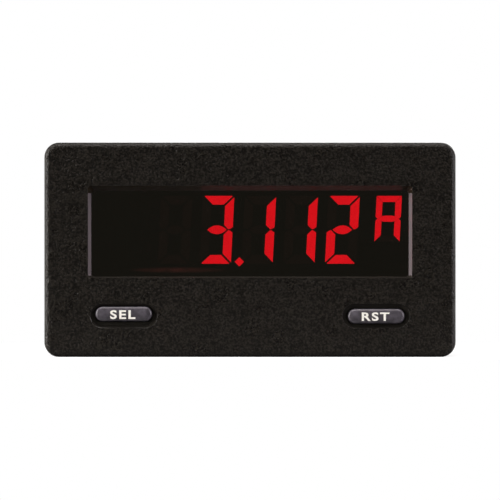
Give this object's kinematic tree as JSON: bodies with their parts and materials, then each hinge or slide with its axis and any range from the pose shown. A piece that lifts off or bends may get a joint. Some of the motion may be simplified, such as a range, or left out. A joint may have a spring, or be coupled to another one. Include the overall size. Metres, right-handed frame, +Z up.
{
  "type": "digital panel meter",
  "caption": "Panel-mount digital meter with a backlit segment display, two front keys, screw terminals behind and a slide-on clip with jack screws.",
  "frame": {"origin": "centre of the bezel's rear face, at the centre of the panel cut-out in the panel's front face", "axes": "+X to the right seen from the front, +Y into the panel, +Z up"},
  "size_m": [0.075, 0.0474, 0.039],
  "materials": {
    "case_plastic": "finely textured moulded black",
    "window_tint": "dark tinted, glossy",
    "clear_glass": "polished",
    "lcd_black": "black display field",
    "lcd_red": "lit red segments",
    "lcd_dark": "unlit segments",
    "elastomer": "matt",
    "guide_acrylic": "clear acrylic",
    "white_plastic": "white moulding",
    "led_resin": "red resin",
    "circuit_board": "green solder resist",
    "switch_plastic": "black moulding",
    "plunger_plastic": "ivory moulding",
    "key_plastic": "satin dark grey",
    "gold_pins": "gold flashed",
    "chip_epoxy": "moulded epoxy",
    "capacitor_sleeve": "shrunk sleeve",
    "winding": "ferrite and lacquered wire",
    "shunt_metal": "manganin strap",
    "jumper_plastic": "blue moulding",
    "terminal_plastic": "green polyamide",
    "contact_brass": "tinned brass",
    "clamp_steel": "zinc plated",
    "screw_steel": "zinc plated",
    "gasket_rubber": "matt",
    "clip_plastic": "moulded black"
  },
  "bodies": {
    "housing": {"case": "case_plastic", "window": "window_tint", "lcd_front_glass": "clear_glass", "lcd_mask": "lcd_black", "lcd_lit_segments": "lcd_red", "lcd_dark_segments": "lcd_dark", "lcd_rear_glass": "clear_glass", "lcd_contact_strips": "elastomer", "light_guide": "guide_acrylic", "backlight_tray": "white_plastic", "backlight_leds": "led_resin", "display_board": "circuit_board", "sel_switch": "switch_plastic", "rst_switch": "switch_plastic", "board_header": "switch_plastic", "header_pins": "gold_pins", "main_board": "circuit_board", "microcontroller": "chip_epoxy", "converter": "chip_epoxy", "capacitors": "capacitor_sleeve", "regulator": "chip_epoxy", "inductor": "winding", "shunt_resistor": "shunt_metal", "range_pins": "gold_pins", "range_jumper": "jumper_plastic", "terminal_block": "terminal_plastic", "terminal_contacts": "contact_brass", "rear_cover": "case_plastic", "panel_gasket": "gasket_rubber"},
    "sel_key": {"sel_button": "key_plastic", "sel_plunger": "plunger_plastic"},
    "rst_key": {"rst_button": "key_plastic", "rst_plunger": "plunger_plastic"},
    "clip": {"mounting_clip": "clip_plastic"},
    "left_jack": {"jack_screw_left": "screw_steel"},
    "right_jack": {"jack_screw_right": "screw_steel"},
    "screw_1": {"terminal_screw_1": "screw_steel"},
    "screw_2": {"terminal_screw_2": "screw_steel"},
    "screw_3": {"terminal_screw_3": "screw_steel"},
    "screw_4": {"terminal_screw_4": "screw_steel"},
    "screw_5": {"terminal_screw_5": "screw_steel"},
    "screw_6": {"terminal_screw_6": "screw_steel"},
    "clamp_1": {"terminal_clamp_1": "clamp_steel"},
    "clamp_2": {"terminal_clamp_2": "clamp_steel"},
    "clamp_3": {"terminal_clamp_3": "clamp_steel"},
    "clamp_4": {"terminal_clamp_4": "clamp_steel"},
    "clamp_5": {"terminal_clamp_5": "clamp_steel"},
    "clamp_6": {"terminal_clamp_6": "clamp_steel"}
  },
  "joints": [
    {"name": "sel_press", "type": "slide", "parent": "housing", "child": "sel_key", "axis": [0, 1, 0], "range_m": [0, 0.0004], "stiffness_N_per_m": 1000, "springref_m": -0.0005},
    {"name": "rst_press", "type": "slide", "parent": "housing", "child": "rst_key", "axis": [0, 1, 0], "range_m": [0, 0.0004], "stiffness_N_per_m": 1000, "springref_m": -0.0005},
    {"name": "clip_slide", "type": "slide", "parent": "housing", "child": "clip", "axis": [0, 1, 0], "range_m": [0, 0.036]},
    {"name": "left_jack_advance", "type": "slide", "parent": "clip", "child": "left_jack", "axis": [0, 1, 0], "range_m": [-0.0045, 0.01]},
    {"name": "right_jack_advance", "type": "slide", "parent": "clip", "child": "right_jack", "axis": [0, 1, 0], "range_m": [-0.0045, 0.01]},
    {"name": "screw_1_turn", "type": "hinge", "parent": "housing", "child": "screw_1", "pos_m": [-0.0127, 0.0408, -0.0004], "axis": [0, 0, 1], "range_deg": [-1602, 0]},
    {"name": "screw_2_turn", "type": "hinge", "parent": "housing", "child": "screw_2", "pos_m": [-0.00762, 0.0408, -0.0004], "axis": [0, 0, 1], "range_deg": [-1602, 0]},
    {"name": "screw_3_turn", "type": "hinge", "parent": "housing", "child": "screw_3", "pos_m": [-0.00254, 0.0408, -0.0004], "axis": [0, 0, 1], "range_deg": [-1602, 0]},
    {"name": "screw_4_turn", "type": "hinge", "parent": "housing", "child": "screw_4", "pos_m": [0.00254, 0.0408, -0.0004], "axis": [0, 0, 1], "range_deg": [-1602, 0]},
    {"name": "screw_5_turn", "type": "hinge", "parent": "housing", "child": "screw_5", "pos_m": [0.00762, 0.0408, -0.0004], "axis": [0, 0, 1], "range_deg": [-1602, 0]},
    {"name": "screw_6_turn", "type": "hinge", "parent": "housing", "child": "screw_6", "pos_m": [0.0127, 0.0408, -0.0004], "axis": [0, 0, 1], "range_deg": [-1602, 0]},
    {"name": "clamp_1_rise", "type": "slide", "parent": "housing", "child": "clamp_1", "axis": [0, 0, 1], "range_m": [0, 0.002]},
    {"name": "clamp_2_rise", "type": "slide", "parent": "housing", "child": "clamp_2", "axis": [0, 0, 1], "range_m": [0, 0.002]},
    {"name": "clamp_3_rise", "type": "slide", "parent": "housing", "child": "clamp_3", "axis": [0, 0, 1], "range_m": [0, 0.002]},
    {"name": "clamp_4_rise", "type": "slide", "parent": "housing", "child": "clamp_4", "axis": [0, 0, 1], "range_m": [0, 0.002]},
    {"name": "clamp_5_rise", "type": "slide", "parent": "housing", "child": "clamp_5", "axis": [0, 0, 1], "range_m": [0, 0.002]},
    {"name": "clamp_6_rise", "type": "slide", "parent": "housing", "child": "clamp_6", "axis": [0, 0, 1], "range_m": [0, 0.002]}
  ],
  "couplings": [
    {"joint": "screw_1_turn", "follows": "clamp_1_rise", "rad_per_m": -13963},
    {"joint": "screw_2_turn", "follows": "clamp_2_rise", "rad_per_m": -13963},
    {"joint": "screw_3_turn", "follows": "clamp_3_rise", "rad_per_m": -13963},
    {"joint": "screw_4_turn", "follows": "clamp_4_rise", "rad_per_m": -13963},
    {"joint": "screw_5_turn", "follows": "clamp_5_rise", "rad_per_m": -13963},
    {"joint": "screw_6_turn", "follows": "clamp_6_rise", "rad_per_m": -13963}
  ]
}
